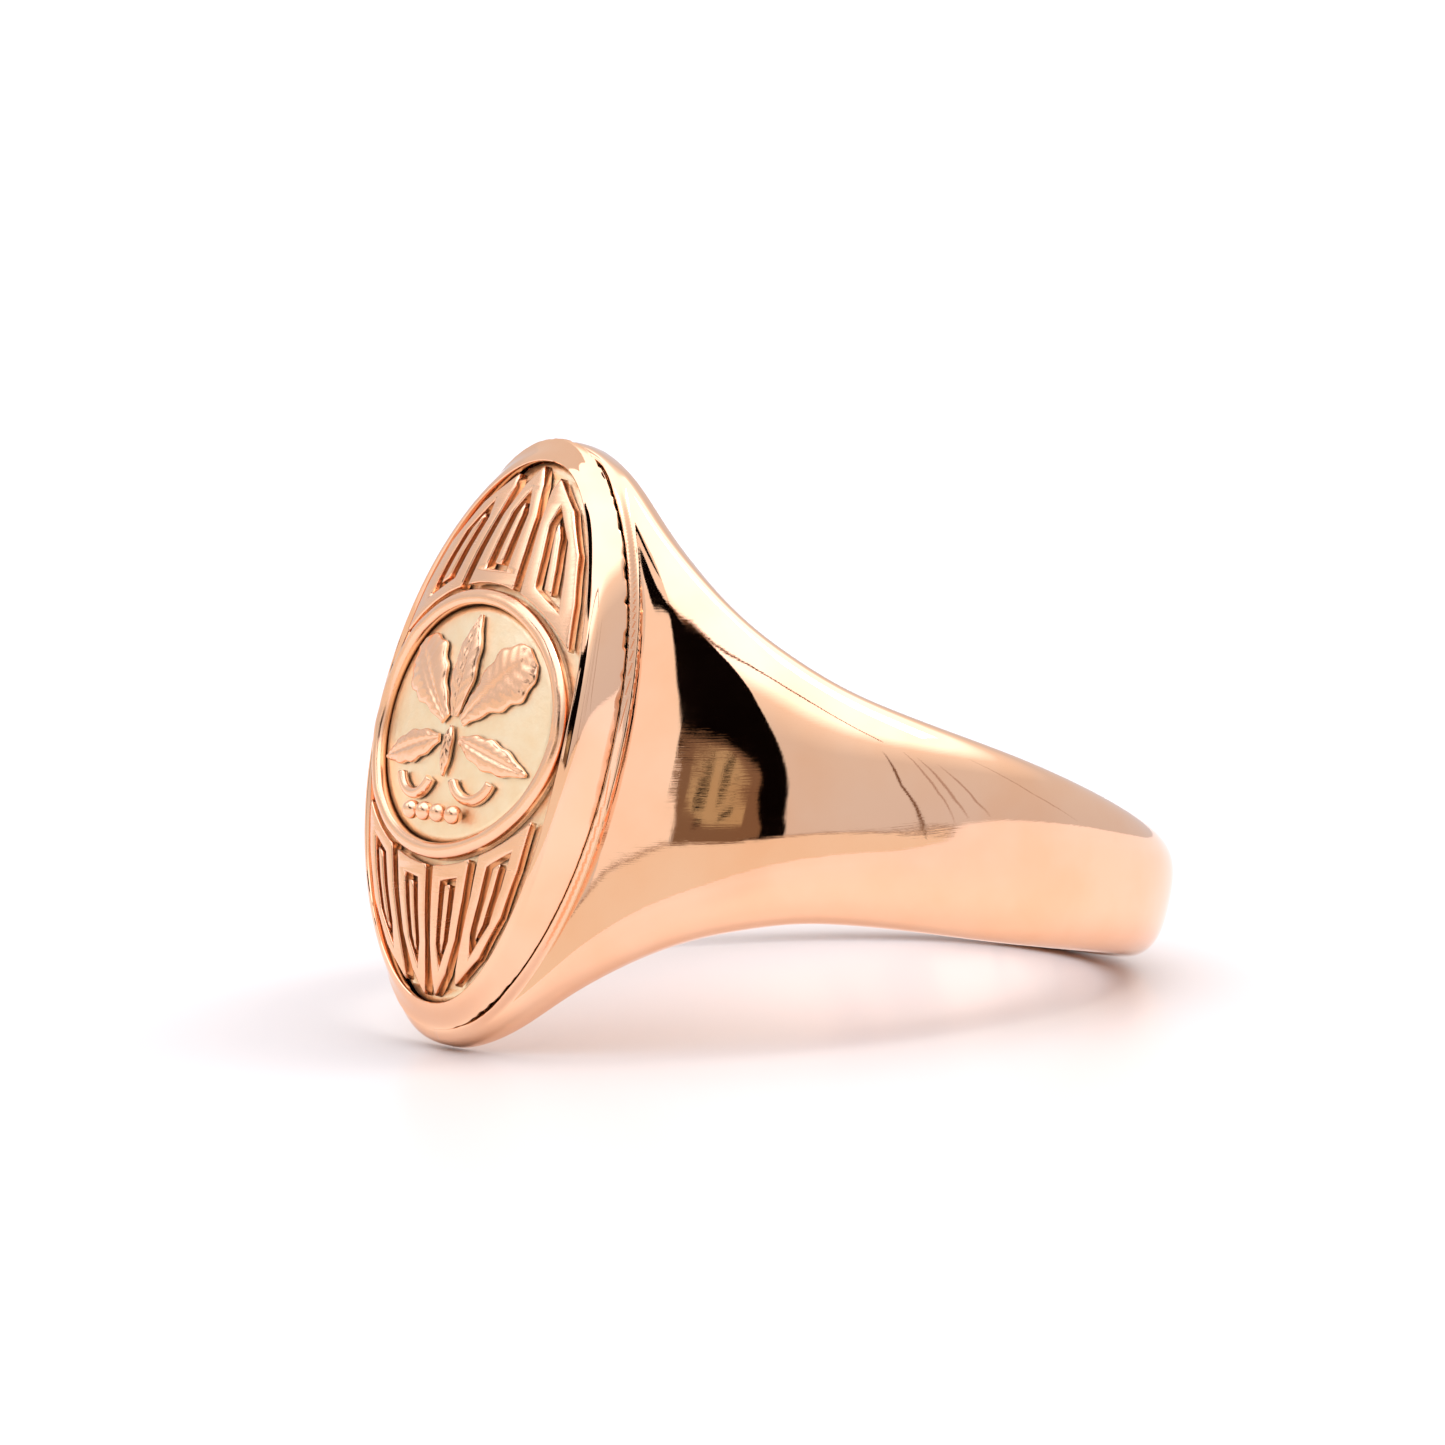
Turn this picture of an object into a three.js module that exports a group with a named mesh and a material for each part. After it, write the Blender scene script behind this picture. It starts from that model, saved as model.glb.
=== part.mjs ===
// Oval signet ring, lying on its side. Millimetres, +Z up, the table is z = 0.
// The face of the head looks towards -Y, the back of the shank is at +Y.
// Everything is modelled round the bore axis first (local z), then tipped into the
// lying pose: the lower tip of the head and the lower back edge touch the table.
import * as THREE from 'three';
import { mergeVertices } from 'three/addons/utils/BufferGeometryUtils.js';

// ---------------------------------------------------------------- driving dimensions
const BORE_R = 9.0;
const BASE_T = 0.92;           // shank metal under the face plate
const SOLDER_T = 0.1;          // solder sheet between shank and face plate
const GAP = 0.02;              // film between two touching pieces
const FACE_R = 11.6;           // crown of the face, measured from the bore axis
const CROWN_R = 20.5;           // curvature of the face along the bore axis
const FACE_HALF_W = 4.76;      // half width round the finger, along the arc
const FACE_HALF_H = 7.9;       // half height along the bore axis
const HEAD_Z = 0.27;           // the face sits this far off the middle of the shank
const BASE_Z = 0.12;           // and the metal under it this far
const FACE_POWER = 2.15;       // 2 is an ellipse, more is squarer
const MARGIN_SIDE = 0.66;      // width of the smooth margin at the sides of the face
const MARGIN_END = 0.66;        // and at its two tips
const RELIEF = 0.38;           // depth of the sunk ground below the face

const MEDAL_HALF_W = 4.05;
const MEDAL_HALF_H = 3.6;
const MEDAL_RIM_W = 0.42;
const MEDAL_RIM_UP = 0.1;      // the rim stands this much above the face
const MEDAL_DISC_T = 0.1;
const SEAT = 0.05;             // solder film under each applied ornament

const SIZING_HALF_ANGLE = 8.5; // degrees each side of the back
const REST_TILT = 18.911;      // degrees; the head tip and the back edge then touch together
const REST_SHIFT_Y = 0.984;
const REST_LIFT = 4.595;

// angle from the head in degrees -> half width of the shank along the bore axis
const HALF_WIDTH = [
  [0, 8.1], [12, 7.5], [24, 5.92], [35, 4.65], [45, 3.8],
  [60, 2.99], [90, 2.4], [130, 1.72], [165, 1.55], [180, 1.55],
];
const THICKNESS = [[0, BASE_T], [28, BASE_T], [45, 1.4], [65, 1.55], [90, 1.52], [180, 1.4]];
const SHOULDER_END = 50;       // degrees from the head where the shoulder has run out
const EDGE_LAND = [[0, 0.3], [40, 0.32], [90, 0.42], [180, 0.5]];
const ROUNDNESS = [[0, 60], [12, 30], [24, 8], [45, 3.4], [70, 2.8], [180, 2.8]];

const ROSE_GOLD = { color: 0xe0a88c, roughness: 0.16, metalness: 1 };
const MATTE_GROUND = { color: 0xb7a46e, roughness: 0.55, metalness: 1 };
const SOLDER = { color: 0x8a5a35, roughness: 0.7, metalness: 1 };

const deg = THREE.MathUtils.degToRad;

// ---------------------------------------------------------------- small helpers
// Smooth curve through a table of [x, value] rows, flat at both ends.
function smooth(table, x) {
  const last = table.length - 1;
  const slope = (i) => {
    if (i === 0 || i === last) {
      return 0;
    }
    return (table[i + 1][1] - table[i - 1][1]) / (table[i + 1][0] - table[i - 1][0]);
  };
  let i = 0;
  while (i < last - 1 && x > table[i + 1][0]) {
    i += 1;
  }
  const span = table[i + 1][0] - table[i][0];
  const t = THREE.MathUtils.clamp((x - table[i][0]) / span, 0, 1);
  const rise = (1 - t) * (1 - t);
  const fall = t * t;
  return rise * (1 + 2 * t) * table[i][1] + rise * t * span * slope(i)
    + fall * (3 - 2 * t) * table[i + 1][1] - fall * (1 - t) * span * slope(i + 1);
}

const crown = (v) => CROWN_R - Math.sqrt(CROWN_R * CROWN_R - v * v);
const SEAM_R = BORE_R + BASE_T;
const PLATE_R = SEAM_R + SOLDER_T + 2 * GAP;

// Point on a cylinder round the bore: u along the arc of the face, v along the bore.
function round(u, v, r) {
  const a = u / FACE_R;
  return [r * Math.sin(a), -r * Math.cos(a), v + HEAD_Z];
}
const onFace = (u, v, w) => round(u, v, FACE_R - crown(v) + w);

// Point of the face outline. inset runs from 0 at the rim to 1 at the inner edge of
// the smooth margin.
function outline(angle, inset) {
  const c = Math.cos(angle);
  const s = Math.sin(angle);
  const a = FACE_HALF_W - MARGIN_SIDE * inset;
  const b = FACE_HALF_H - MARGIN_END * inset;
  const reach = (Math.abs(c / a) ** FACE_POWER + Math.abs(s / b) ** FACE_POWER) ** (-1 / FACE_POWER);
  return [reach * c, reach * s];
}

function solid(points, triangles) {
  const geometry = new THREE.BufferGeometry();
  geometry.setAttribute('position', new THREE.Float32BufferAttribute(points.flat(), 3));
  geometry.setIndex(triangles);
  return geometry;
}

// Skin over a list of closed rings with equal point counts. Without poles the last
// ring joins the first; a pole is a point that closes the first or the last ring.
function skin(rings, poles) {
  const count = rings[0].length;
  const points = rings.flat();
  const triangles = [];
  const spans = poles ? rings.length - 1 : rings.length;
  for (let i = 0; i < spans; i += 1) {
    const a = i * count;
    const b = ((i + 1) % rings.length) * count;
    for (let j = 0; j < count; j += 1) {
      const k = (j + 1) % count;
      triangles.push(a + j, a + k, b + k, a + j, b + k, b + j);
    }
  }
  if (poles) {
    const lastRing = (rings.length - 1) * count;
    points.push(poles[0], poles[1]);
    for (let j = 0; j < count; j += 1) {
      const k = (j + 1) % count;
      triangles.push(rings.length * count, k, j);
      triangles.push(rings.length * count + 1, lastRing + j, lastRing + k);
    }
  }
  return solid(points, triangles);
}

// ---------------------------------------------------------------- shank
const OUTER_STEPS = [-1, -0.97, -0.88, -0.72, -0.45, 0, 0.45, 0.72, 0.88, 0.97, 1];

// Cross section of the shank at one angle: rounded outside, flat edge lands,
// eased bore edges.
function bandSection(angleDeg) {
  const h = smooth(HALF_WIDTH, Math.abs(angleDeg));
  const t = smooth(THICKNESS, Math.abs(angleDeg));
  const land = smooth(EDGE_LAND, Math.abs(angleDeg));
  const power = smooth(ROUNDNESS, Math.abs(angleDeg));
  const flat = OUTER_STEPS.map((s) => [
    BORE_R + land + (t - land) * (1 - Math.abs(s) ** power) ** (1 / 2.2),
    s * h,
  ]);
  flat.push([BORE_R + 0.12, h], [BORE_R, h - 0.3], [BORE_R, 0.3 - h], [BORE_R + 0.12, -h]);
  const lean = BASE_Z * Math.max(0, 1 - Math.abs(angleDeg) / SHOULDER_END);
  return flat.map(([r, z]) => [r, z + lean]);
}

function placeSection(section, angleDeg) {
  const a = deg(angleDeg);
  return section.map(([r, z]) => [r * Math.sin(a), -r * Math.cos(a), z]);
}

// Length of shank between two angles (degrees, growing from the head to +X).
function band(from, to, steps, shrink = 0) {
  const rings = [];
  for (let i = 0; i <= steps; i += 1) {
    const angle = from + ((to - from) * i) / steps;
    const folded = angle > 180 ? angle - 360 : angle;
    const section = bandSection(folded).map(([r, z]) => [
      r > BORE_R + shrink ? r - shrink : r,
      z - Math.sign(z) * shrink,
    ]);
    rings.push(placeSection(section, angle));
  }
  const centre = (ring) => {
    const total = ring.reduce((sum, p) => [sum[0] + p[0], sum[1] + p[1], sum[2] + p[2]], [0, 0, 0]);
    return total.map((value) => value / ring.length);
  };
  rings.reverse();
  return skin(rings, [centre(rings[0]), centre(rings[rings.length - 1])]);
}

// Solder films are set back a little from the metal they join.
const FILM_T = 0.08;
const FILM_SHRINK = 0.03;
const GAP_ANGLE = THREE.MathUtils.radToDeg(GAP / BORE_R);
const FILM_ANGLE = THREE.MathUtils.radToDeg(FILM_T / BORE_R);
const BACK_FROM = 180 - SIZING_HALF_ANGLE;

// ---------------------------------------------------------------- face plate
const AROUND = 64;
const ring = (inset, place, around = AROUND) => Array.from({ length: around }, (_, i) => {
  const [u, v] = outline((2 * Math.PI * i) / around, inset);
  return place(u, v);
});

// Smooth margin of the face: rounded over from the face down to the solder.
function frameGeometry() {
  const rounding = [
    [1, 0], [0.8, 0], [0.45, 0.1], [0.18, 0.28], [0.03, 0.55], [0, 0.85], [0.05, 1],
  ];
  const rings = rounding.map(([inset, fall]) => ring(inset, (u, v) => {
    const top = FACE_R - crown(v);
    return round(u, v, top + (PLATE_R - top) * fall);
  }));
  rings.push(ring(1, (u, v) => round(u, v, PLATE_R)));
  return skin(rings.reverse());
}

// Oval sheet that follows the face: top and bottom are radii as functions of v.
function sheet(inset, steps, top, bottom) {
  const scaled = (scale, radius) => ring(inset, (u, v) => round(u * scale, v * scale, radius(v * scale)));
  const rings = [];
  for (let i = 1; i <= steps; i += 1) {
    rings.push(scaled(i / steps, top));
  }
  for (let i = steps; i >= 1; i -= 1) {
    rings.push(scaled(i / steps, bottom));
  }
  return skin(rings.reverse(), [round(0, 0, bottom(0)), round(0, 0, top(0))]);
}

// ---------------------------------------------------------------- medallion
const oval = (inset, w, around = 48) => Array.from({ length: around }, (_, i) => {
  const a = (2 * Math.PI * i) / around;
  return onFace((MEDAL_HALF_W - inset) * Math.cos(a), (MEDAL_HALF_H - inset) * Math.sin(a), w);
});

function medalRim() {
  const low = GAP - RELIEF;
  const inner = MEDAL_RIM_W;
  const profile = [
    [0, low], [0, -0.1], [0.1, MEDAL_RIM_UP * 0.7], [inner / 2, MEDAL_RIM_UP],
    [inner - 0.1, MEDAL_RIM_UP * 0.7], [inner, -0.1], [inner, low],
  ];
  return skin(profile.map(([inset, w]) => oval(inset, w)));
}

function medalDisc() {
  const low = SEAT - RELIEF;
  const high = low + MEDAL_DISC_T;
  const edge = MEDAL_RIM_W + GAP;
  const insets = [2.8, 1.9, 1.1, edge];
  const rings = [
    ...insets.map((inset) => oval(inset, low)),
    ...insets.reverse().map((inset) => oval(inset, high)),
  ];
  return skin(rings, [onFace(0, 0, low), onFace(0, 0, high)]);
}

// ---------------------------------------------------------------- applied relief
// Flat outline (u, v) raised from w0 to w1 and wrapped on the face.
function relief(shape, w0, w1) {
  const geometry = new THREE.ExtrudeGeometry(shape, { depth: w1 - w0, bevelEnabled: false, curveSegments: 6 });
  const position = geometry.attributes.position;
  for (let i = 0; i < position.count; i += 1) {
    position.setXYZ(i, ...onFace(position.getX(i), position.getY(i), w0 + position.getZ(i)));
  }
  geometry.deleteAttribute('normal');
  geometry.deleteAttribute('uv');
  return mergeVertices(geometry, 1e-5);
}

// Half widths along a leaf: fraction of the length, fraction of the width.
const POINTED = [[0, 0.12], [0.25, 0.42], [0.5, 0.5], [0.75, 0.36], [1, 0.05]];
const BLUNT = [[0, 0.1], [0.3, 0.26], [0.55, 0.46], [0.75, 0.5], [0.9, 0.4], [1, 0.16]];

// Leaf with its root at (x, z), pointing along angle (degrees from +v).
function leafShape(sides, x, z, angle, length, width) {
  const a = deg(angle);
  const at = (along, side) => new THREE.Vector2(
    x + along * Math.sin(a) + side * Math.cos(a),
    z + along * Math.cos(a) - side * Math.sin(a),
  );
  const right = sides.map(([t, s]) => at(t * length, s * width));
  const left = sides.map(([t, s]) => at(t * length, -s * width)).reverse();
  return new THREE.Shape([...left, ...right].reverse());
}

// Curved strap of constant width round a centre, between two angles from +u.
function arcShape(x, z, radius, width, from, to) {
  const steps = 7;
  const arc = (r) => Array.from({ length: steps + 1 }, (_, i) => {
    const a = deg(from + ((to - from) * i) / steps);
    return new THREE.Vector2(x + r * Math.cos(a), z + r * Math.sin(a));
  });
  return new THREE.Shape([...arc(radius + width / 2), ...arc(radius - width / 2).reverse()]);
}

// The field above (side = 1) or below (side = -1) the medallion, as a grid:
// p runs across from -1 to 1, q from the medallion (0) to the frame (1).
function fieldPoint(side, p, q) {
  const room = FACE_HALF_W - MARGIN_SIDE;
  const top = FACE_HALF_H - MARGIN_END;
  const reach = Math.min((p * room * 0.9) / (MEDAL_HALF_W + 0.12), 0.95);
  const near = (MEDAL_HALF_H + 0.16) * Math.sqrt(1 - reach * reach);
  const far = top * (0.98 - 0.1 * p * p);
  const v = near + (far - near) * q;
  const half = room * (1 - Math.min(v / top, 0.999) ** FACE_POWER) ** (1 / FACE_POWER);
  return new THREE.Vector2(p * half, side * v);
}

// Pointed arch with one tall opening, and the reed that stands in the opening.
function archShape(side, centre, half) {
  const outer = [
    [-1, 0], [-1, 0.3], [-1, 0.6], [-0.75, 0.85], [0, 1], [0.75, 0.85], [1, 0.6], [1, 0.3], [1, 0],
    [0.5, 0], [0, 0], [-0.5, 0],
  ];
  const inner = [[0.5, 0.12], [0.5, 0.36], [0.5, 0.6], [0, 0.8], [-0.5, 0.6], [-0.5, 0.36], [-0.5, 0.12]];
  const map = (list) => list.map(([a, q]) => fieldPoint(side, centre + a * half, q));
  const shape = new THREE.Shape(map(outer));
  shape.holes.push(new THREE.Path(map(inner)));
  return shape;
}

function reedShape(side, centre, half) {
  const list = [[-0.14, 0.16], [-0.14, 0.36], [-0.14, 0.58], [0, 0.68], [0.14, 0.58], [0.14, 0.36], [0.14, 0.16]];
  return new THREE.Shape(list.map(([a, q]) => fieldPoint(side, centre + a * half, q)));
}

// ---------------------------------------------------------------- assembly
const group = new THREE.Group();
group.name = 'signet_ring';

function add(name, geometry, look) {
  const bare = geometry.index ? geometry : mergeVertices(geometry, 1e-5);
  const mesh = new THREE.Mesh(bare, new THREE.MeshStandardMaterial(look));
  mesh.name = name;
  group.add(mesh);
}

const frontFilm = FILM_ANGLE / 2;
const filmStart = BACK_FROM + GAP_ANGLE;
const filmEnd = filmStart + FILM_ANGLE;
const insertStart = filmEnd + GAP_ANGLE;
add('front_joint', band(-frontFilm, frontFilm, 1, FILM_SHRINK), SOLDER);
add('shank_right', band(frontFilm + GAP_ANGLE, BACK_FROM, 30), ROSE_GOLD);
add('shank_left', band(360 - BACK_FROM, 360 - frontFilm - GAP_ANGLE, 30), ROSE_GOLD);
add('sizing_joint_right', band(filmStart, filmEnd, 1, FILM_SHRINK), SOLDER);
add('sizing_joint_left', band(360 - filmEnd, 360 - filmStart, 1, FILM_SHRINK), SOLDER);
add('sizing_piece', band(insertStart, 360 - insertStart, 6), ROSE_GOLD);

add('face_solder', sheet(0.06, 3, () => SEAM_R + GAP + SOLDER_T, () => SEAM_R + GAP), SOLDER);
add('face_frame', frameGeometry(), ROSE_GOLD);
add('ground_plate', sheet(1 + GAP, 7, (v) => FACE_R - crown(v) - RELIEF, () => PLATE_R), MATTE_GROUND);

add('medallion_rim', medalRim(), ROSE_GOLD);
add('medallion_disc', medalDisc(), MATTE_GROUND);

const crestLow = 2 * SEAT - RELIEF + MEDAL_DISC_T;
const crestHigh = 0.02;
// side profile, root u, root v, angle from +v in degrees, length, width
const LEAVES = {
  leaf_centre: [POINTED, 0, 0.15, 0, 2.75, 1.05],
  leaf_upper_left: [BLUNT, -0.35, 0.05, -47, 2.85, 1.85],
  leaf_upper_right: [BLUNT, 0.35, 0.05, 47, 2.85, 1.85],
  leaf_lower_left: [POINTED, -0.45, -0.45, -104, 2.7, 0.95],
  leaf_lower_right: [POINTED, 0.45, -0.45, 104, 2.7, 0.95],
  crest_stem: [POINTED, 0, -0.1, 180, 1.35, 0.42],
};
Object.entries(LEAVES).forEach(([name, leaf]) => {
  add(name, relief(leafShape(...leaf), crestLow, crestHigh), ROSE_GOLD);
});
const RIBBONS = {
  ribbon_left: [-1.2, -1.2, 0.78, 0.3, 200, 335],
  ribbon_right: [1.2, -1.2, 0.78, 0.3, 205, 340],
};
Object.entries(RIBBONS).forEach(([name, arc]) => {
  add(name, relief(arcShape(...arc), crestLow, crestHigh), ROSE_GOLD);
});

const BEAD_R = 0.25;
const BEAD_V = -2.42;
const BEAD_PITCH = 0.6;
const BEAD_COUNT = 4;
for (let i = 0; i < BEAD_COUNT; i += 1) {
  const bead = new THREE.SphereGeometry(BEAD_R, 10, 7);
  bead.deleteAttribute('normal');
  bead.deleteAttribute('uv');
  bead.translate(...onFace(BEAD_PITCH * (i - (BEAD_COUNT - 1) / 2), BEAD_V, crestLow + BEAD_R));
  add(`bead_${i + 1}`, mergeVertices(bead, 1e-5), ROSE_GOLD);
}

const fields = { upper: [1, 3, 0.95], lower: [-1, 4, 0.95] };
Object.entries(fields).forEach(([name, [side, count, reach]]) => {
  const pitch = (2 * reach) / count;
  const half = pitch / 2 - 0.045;
  for (let i = 0; i < count; i += 1) {
    const centre = -reach + pitch * (i + 0.5);
    add(`${name}_arch_${i + 1}`, relief(archShape(side, centre, half), SEAT - RELIEF, 0), ROSE_GOLD);
    add(`${name}_reed_${i + 1}`, relief(reedShape(side, centre, half), SEAT - RELIEF, 0), ROSE_GOLD);
  }
});

// Tip the ring into its lying pose.
const pose = new THREE.Matrix4().makeRotationX(-deg(REST_TILT));
pose.setPosition(0, REST_SHIFT_Y, REST_LIFT);
group.children.forEach((mesh) => {
  mesh.geometry.applyMatrix4(pose);
  mesh.geometry.computeVertexNormals();
});

export default group;
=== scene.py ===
import math

import bpy
import numpy as np
from mathutils import Matrix, Vector

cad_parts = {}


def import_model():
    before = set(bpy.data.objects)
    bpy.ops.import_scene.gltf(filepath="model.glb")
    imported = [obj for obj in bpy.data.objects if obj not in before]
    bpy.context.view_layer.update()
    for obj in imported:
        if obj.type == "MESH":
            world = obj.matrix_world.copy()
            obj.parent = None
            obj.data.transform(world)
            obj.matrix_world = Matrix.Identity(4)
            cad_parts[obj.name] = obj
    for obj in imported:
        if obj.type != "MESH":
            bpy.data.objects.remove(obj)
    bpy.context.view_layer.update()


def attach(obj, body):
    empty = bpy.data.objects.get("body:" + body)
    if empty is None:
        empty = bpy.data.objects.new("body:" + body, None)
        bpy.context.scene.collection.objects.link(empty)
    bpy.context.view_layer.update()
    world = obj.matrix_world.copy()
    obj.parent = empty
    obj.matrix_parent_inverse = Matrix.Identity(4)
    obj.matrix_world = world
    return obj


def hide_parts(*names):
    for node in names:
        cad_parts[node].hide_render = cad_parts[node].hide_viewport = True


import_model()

# ---------------------------------------------------------------- driving dimensions, mm
# The values of part.mjs, round the bore axis (local z), head towards local -y. Only THICKNESS
# differs: the polished shoulder is fuller beside the head than the CAD solid.
BORE_R = 9.0
BASE_T = 0.92
SOLDER_T = 0.1
GAP = 0.02
FACE_R = 11.6
CROWN_R = 20.5
FACE_HALF_W = 4.76
FACE_HALF_H = 7.9
HEAD_Z = 0.27
BASE_Z = 0.12
FACE_POWER = 2.15
MARGIN_SIDE = 0.66
MARGIN_END = 0.66
RELIEF = 0.38
SEAM_R = BORE_R + BASE_T
PLATE_R = SEAM_R + SOLDER_T + 2 * GAP
MEDAL_HALF_W = 4.05
MEDAL_HALF_H = 3.6
MEDAL_RIM_W = 0.42
MEDAL_RIM_UP = 0.1
MEDAL_DISC_T = 0.1
SEAT = 0.05
SIZING_HALF_ANGLE = 8.5
SHOULDER_END = 50
HALF_WIDTH = [
    (0, 8.1), (12, 7.5), (24, 5.92), (35, 4.65), (45, 3.8),
    (60, 2.99), (90, 2.4), (130, 1.72), (165, 1.55), (180, 1.55),
]
THICKNESS = [
    (0, BASE_T), (14, BASE_T), (20, 1.03), (25.5, 1.17), (35, 1.28),
    (45, 1.4), (65, 1.55), (90, 1.52), (180, 1.4),
]
EDGE_LAND = [(0, 0.3), (40, 0.32), (90, 0.42), (180, 0.5)]
ROUNDNESS = [(0, 60), (12, 30), (24, 8), (45, 3.4), (70, 2.8), (180, 2.8)]
OUTER_POWER = 2.2
REST_TILT = math.radians(18.911)
REST_SHIFT_Y = 0.984
REST_LIFT = 4.595
MM = 0.001


# ---------------------------------------------------------------- geometry helpers
def pose(points):
    """Local millimetres to the row frame in metres."""
    p = np.asarray(points, float)
    c, s = math.cos(REST_TILT), math.sin(REST_TILT)
    x, y, z = p[..., 0], p[..., 1], p[..., 2]
    return np.stack([x, c * y + s * z + REST_SHIFT_Y, c * z - s * y + REST_LIFT], -1) * MM


def crown(v):
    """How far the domed face has fallen at height v."""
    return CROWN_R - np.sqrt(CROWN_R ** 2 - np.square(v))


def wrap(u, v, r):
    """Point at radius r, u along the curve of the face and v up it."""
    a = np.asarray(u) / FACE_R
    return np.stack([r * np.sin(a), -r * np.cos(a), np.asarray(v) + HEAD_Z], -1)


def on_face(u, v, w):
    """Point w above the domed face."""
    return wrap(u, v, FACE_R - crown(v) + w)


def outline(angle, inset):
    """Oval outline of the face; inset 1 is the inner edge of the polished margin."""
    c, s = np.cos(angle), np.sin(angle)
    a = FACE_HALF_W - MARGIN_SIDE * inset
    b = FACE_HALF_H - MARGIN_END * inset
    reach = (np.abs(c / a) ** FACE_POWER + np.abs(s / b) ** FACE_POWER) ** (-1 / FACE_POWER)
    return reach * c, reach * s


def cubic(xs, ys, slopes, x):
    """Smooth curve through points with the given slopes."""
    i = np.clip(np.searchsorted(xs, x, side="right") - 1, 0, len(xs) - 2)
    span = xs[i + 1] - xs[i]
    t = np.clip((x - xs[i]) / span, 0, 1)
    return ((1 - t) ** 2 * (1 + 2 * t) * ys[i] + (1 - t) ** 2 * t * span * slopes[i]
            + t ** 2 * (3 - 2 * t) * ys[i + 1] - t ** 2 * (1 - t) * span * slopes[i + 1])


def hermite(table, x):
    """The curve that the CAD uses: flat ends, central slopes."""
    xs, ys = np.array(table, float).T
    slopes = np.zeros(len(xs))
    slopes[1:-1] = (ys[2:] - ys[:-2]) / (xs[2:] - xs[:-2])
    return cubic(xs, ys, slopes, x)


def fair(table, angle, sigma=2.5):
    """The hermite curve with its small kinks faired out, so that reflections run smoothly."""
    offsets = np.linspace(-3 * sigma, 3 * sigma, 25)
    weights = np.exp(-0.5 * (offsets / sigma) ** 2)
    weights /= weights.sum()
    x = np.abs(np.asarray(angle, float)[..., None] + offsets)
    x = np.where(x > 180, 360 - x, x)
    return (hermite(table, x) * weights).sum(-1)


def add_mesh(name, points, faces, material, smooth=True):
    """Mesh object from points in metres."""
    mesh = bpy.data.meshes.new(name)
    mesh.from_pydata([tuple(p) for p in np.asarray(points).reshape(-1, 3)], [], faces)
    mesh.polygons.foreach_set("use_smooth", [smooth] * len(mesh.polygons))
    mesh.materials.append(material)
    mesh.update()
    piece = bpy.data.objects.new(name, mesh)
    bpy.context.scene.collection.objects.link(piece)
    return piece


def strip_faces(rows, count, close_rows):
    """Quads of a grid of closed rings; rows follow each other, close_rows joins last to first."""
    faces = []
    for i in range(rows if close_rows else rows - 1):
        a, b = i * count, ((i + 1) % rows) * count
        for j in range(count):
            k = (j + 1) % count
            faces.append((a + j, a + k, b + k, b + j))
    return faces


def skin(name, rings, material, poles=None, caps=False):
    """Closed skin over rings (rows x count x 3, local mm)."""
    rings = np.asarray(rings)
    rows, count = rings.shape[:2]
    points = rings.reshape(-1, 3)
    faces = strip_faces(rows, count, poles is None and not caps)
    flat_from = len(faces)
    if poles is not None:
        points = np.vstack([points, poles])
        last = (rows - 1) * count
        for j in range(count):
            k = (j + 1) % count
            faces.append((rows * count, k, j))
            faces.append((rows * count + 1, last + j, last + k))
    if caps:
        faces.append(tuple(reversed(range(count))))
        faces.append(tuple(range((rows - 1) * count, rows * count)))
    piece = add_mesh(name, pose(points), faces, material)
    if caps:
        for polygon in list(piece.data.polygons)[flat_from:]:
            polygon.use_smooth = False
    outward(piece)
    return piece


def outward(piece):
    """Turns the faces round if the mesh is inside out."""
    mesh = piece.data
    mesh.calc_loop_triangles()
    co = np.empty(len(mesh.vertices) * 3)
    mesh.vertices.foreach_get("co", co)
    co = co.reshape(-1, 3)
    tri = np.empty(len(mesh.loop_triangles) * 3, dtype=int)
    mesh.loop_triangles.foreach_get("vertices", tri)
    a, b, c = (co[tri.reshape(-1, 3)[:, k]] for k in range(3))
    if np.einsum("ij,ij->i", a, np.cross(b, c)).sum() < 0:
        mesh.flip_normals()


def finish_piece(piece, slot_name, *nodes):
    """Ties a visual piece to the body and hides the CAD nodes that it stands for. slot_name is not used."""
    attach(piece, "root")
    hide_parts(*nodes)


# ---------------------------------------------------------------- materials
def new_material(name):
    material = bpy.data.materials.new(name)
    material.use_nodes = True
    nodes = material.node_tree.nodes
    nodes.clear()
    return material, nodes, material.node_tree.links


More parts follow.
